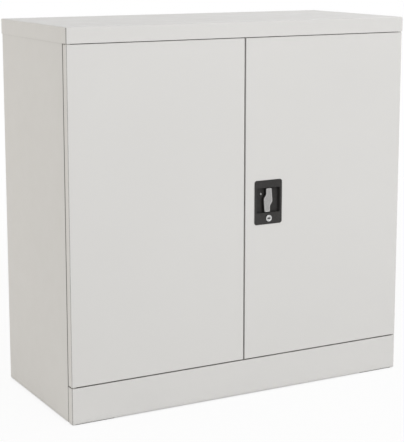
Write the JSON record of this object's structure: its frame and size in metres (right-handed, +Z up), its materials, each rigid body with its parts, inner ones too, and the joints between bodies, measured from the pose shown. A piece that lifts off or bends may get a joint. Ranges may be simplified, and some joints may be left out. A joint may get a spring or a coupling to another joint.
{
  "type": "metal storage cabinet",
  "caption": "Low two-door steel cabinet with adjustable shelves, overhanging lid, plinth and a recessed turn handle with a key lock.",
  "frame": {"origin": "centre of the footprint on the floor, under the feet", "axes": "+X to the right seen from the front, +Y towards the back, +Z up; the doors face -Y"},
  "size_m": [0.9, 0.4, 0.9],
  "materials": {
    "painted_sheet": "light grey powder coat, fine orange peel",
    "plated_steel": "zinc plated",
    "black_rubber": "matt",
    "black_nylon": "moulded nylon",
    "white_nylon": "natural nylon",
    "black_moulding": "fine textured black moulding",
    "satin_silver": "satin silver",
    "bright_chrome": "polished"
  },
  "bodies": {
    "carcass": {"top_cap": "painted_sheet", "left_side_panel": "painted_sheet", "right_side_panel": "painted_sheet", "back_panel": "painted_sheet", "back_screws": "plated_steel", "floor_tray": "painted_sheet", "plinth": "painted_sheet", "top_rail": "painted_sheet", "left_front_post": "painted_sheet", "left_rear_post": "painted_sheet", "right_front_post": "painted_sheet", "right_rear_post": "painted_sheet", "lower_shelf": "painted_sheet", "lower_shelf_clips": "plated_steel", "upper_shelf": "painted_sheet", "upper_shelf_clips": "plated_steel", "upper_hinge_pins": "plated_steel", "lower_hinge_pins": "plated_steel", "glides": "black_nylon", "door_catch": "black_moulding"},
    "left_door": {"left_door_skin": "painted_sheet", "left_door_stiffener": "painted_sheet", "left_door_bushes": "white_nylon", "left_door_buffers": "black_rubber", "catch_plate": "plated_steel"},
    "right_door": {"right_door_skin": "painted_sheet", "right_door_stiffener": "painted_sheet", "right_door_bushes": "white_nylon", "right_door_buffers": "black_rubber", "handle_bezel": "black_moulding", "bolt_guides": "white_nylon", "lock_barrel": "bright_chrome"},
    "lever_turn": {"lever": "satin_silver", "lever_crank": "plated_steel"},
    "rising_bolt": {"upper_bolt": "plated_steel"},
    "dropping_bolt": {"lower_bolt": "plated_steel"},
    "key_cylinder": {"key_plug": "bright_chrome", "lock_cam": "plated_steel"}
  },
  "joints": [
    {"name": "left_door_hinge", "type": "hinge", "parent": "carcass", "child": "left_door", "pos_m": [-0.4425, -0.1925, 0.475], "axis": [0, 0, -1], "range_deg": [0, 180]},
    {"name": "right_door_hinge", "type": "hinge", "parent": "carcass", "child": "right_door", "pos_m": [0.4425, -0.1925, 0.475], "axis": [0, 0, 1], "range_deg": [0, 180]},
    {"name": "lever_turning", "type": "hinge", "parent": "right_door", "child": "lever_turn", "pos_m": [0.065, -0.195, 0.474], "axis": [0, -1, 0], "range_deg": [0, 90]},
    {"name": "upper_bolt_slide", "type": "slide", "parent": "right_door", "child": "rising_bolt", "axis": [0, 0, 1], "range_m": [0, 0.01697]},
    {"name": "lower_bolt_slide", "type": "slide", "parent": "right_door", "child": "dropping_bolt", "axis": [0, 0, -1], "range_m": [0, 0.01697]},
    {"name": "key_turning", "type": "hinge", "parent": "right_door", "child": "key_cylinder", "pos_m": [0.067, -0.195, 0.43], "axis": [0, -1, 0], "range_deg": [0, 90]}
  ],
  "couplings": [
    {"joint": "upper_bolt_slide", "follows": "lever_turning", "m_per_rad": 0.010804},
    {"joint": "lower_bolt_slide", "follows": "lever_turning", "m_per_rad": 0.010804}
  ]
}
